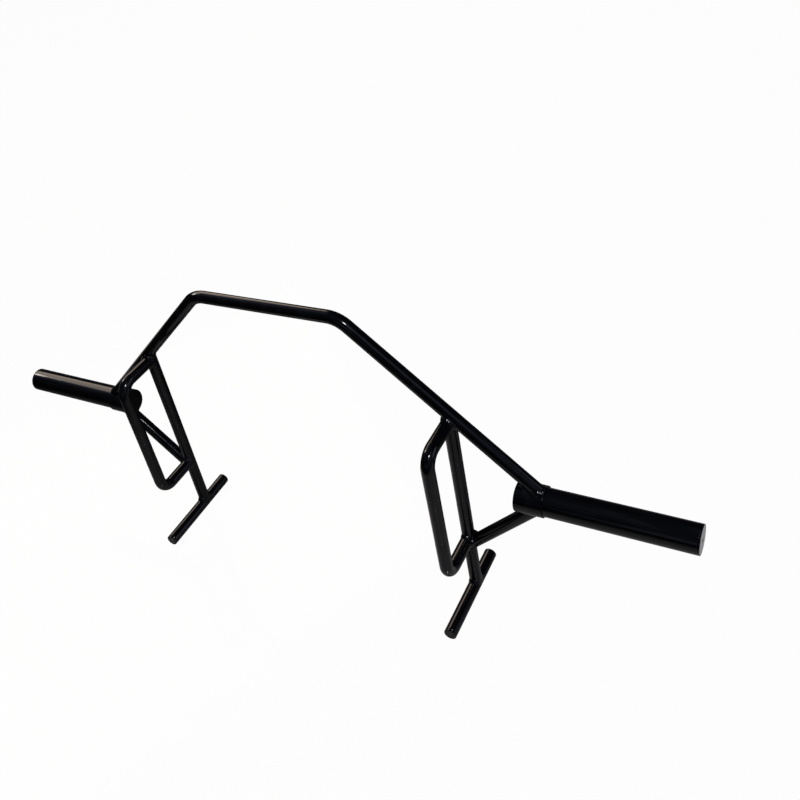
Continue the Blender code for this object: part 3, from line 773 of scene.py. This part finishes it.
def makeWorld():
    # A dim room: one ceiling level, plus glows that fall off smoothly with the angle from their
    # middle. The camera itself sees white.
    world = bpy.data.worlds.new("studio")
    world.use_nodes = True
    bpy.context.scene.world = world
    tree = world.node_tree
    place = addNode(tree, "ShaderNodeTexCoord")
    total = addNode(tree, "ShaderNodeValue")
    total.outputs["Value"].default_value = ceiling["level"]
    for glow in wallGlows.values():
        middle = tuple(wayTo(glow["azimuth"], glow["elevation"]))
        faded, full = np.cos(np.radians([glow["faded"], glow["full"]]))
        near = addNode(tree, "ShaderNodeVectorMath", {"operation": "DOT_PRODUCT", 1: middle},
                       [(0, place, "Generated")])
        share = addNode(tree, "ShaderNodeMapRange",
                        {"interpolation_type": "SMOOTHSTEP", "From Min": faded, "From Max": full,
                         "To Max": glow["level"]}, [("Value", near, "Value")])
        total = addNode(tree, "ShaderNodeMath", {"operation": "ADD"},
                        [(0, total, "Value"), (1, share, "Result")])
    rays = addNode(tree, "ShaderNodeLightPath")
    brightness = addNode(tree, "ShaderNodeMix", {"data_type": "FLOAT", "B": 1.0},
                         [("Factor", rays, "Is Camera Ray"), ("A", total, "Value")])
    colour = addNode(tree, "ShaderNodeMix", {"data_type": "RGBA"},
                     [("Factor", rays, "Is Camera Ray")])
    colour.inputs["A"].default_value = linear(ceiling["colour"])
    colour.inputs["B"].default_value = (1.0, 1.0, 1.0, 1.0)
    background = tree.nodes["Background"]
    tree.links.new(colour.outputs["Result"], background.inputs["Color"])
    tree.links.new(brightness.outputs["Result"], background.inputs["Strength"])


# Lamps hang towards an azimuth and elevation, face the middle of the bar, and have a width and
# height in metres.
lamps = {
    "backLeftPanel": {"azimuth": 153, "elevation": 38, "away": 5.0, "size": (4.3, 2.3),
                      "radiance": 4.4, "colour": "#ffebd6"},
    "leftLamp": {"azimuth": 180, "elevation": 33, "away": 5.0, "size": (0.8, 0.8), "radiance": 22.0,
                 "colour": "#fff8f0"},
    "frontRightLamp": {"azimuth": -46, "elevation": 49, "away": 2.75, "size": (0.36, 0.36),
                       "radiance": 97.0, "colour": "#ffffff"},
}


def makeLamp(name, setting):
    data = bpy.data.lights.new(name, "AREA")
    data.shape = "RECTANGLE"
    data.size, data.size_y = setting["size"]
    data.energy = setting["radiance"] * data.size * data.size_y * np.pi
    data.color = linear(setting["colour"])[:3]
    lamp = bpy.data.objects.new(name, data)
    way = wayTo(setting["azimuth"], setting["elevation"])
    lamp.location = setting["away"] * way + [0, 0, axisZ]
    lamp.rotation_euler = np.radians([90 - setting["elevation"], 0, setting["azimuth"] + 90])
    lamp.visible_camera = False
    bpy.context.scene.collection.objects.link(lamp)


camera = {"place": (0.9099, -0.9868, 1.4298), "turn": (56.963, 11.203, 29.463), "lens": 40.64,
          "sensorWidth": 36.0, "shift": (0.0812, -0.1184)}


def makeCamera():
    # Place, turn, lens and optical centre as solved from the outlines in the photograph.
    data = bpy.data.cameras.new("camera")
    data.sensor_width = camera["sensorWidth"]
    data.lens = camera["lens"]
    data.shift_x, data.shift_y = camera["shift"]
    eye = bpy.data.objects.new("camera", data)
    eye.location = camera["place"]
    eye.rotation_euler = np.radians(camera["turn"])
    bpy.context.scene.collection.objects.link(eye)
    bpy.context.scene.camera = eye


makeFloor()
makeWorld()
for name, setting in lamps.items():
    makeLamp(name, setting)
makeCamera()
bpy.context.scene.view_settings.view_transform = "Standard"
print("floor, light and camera")
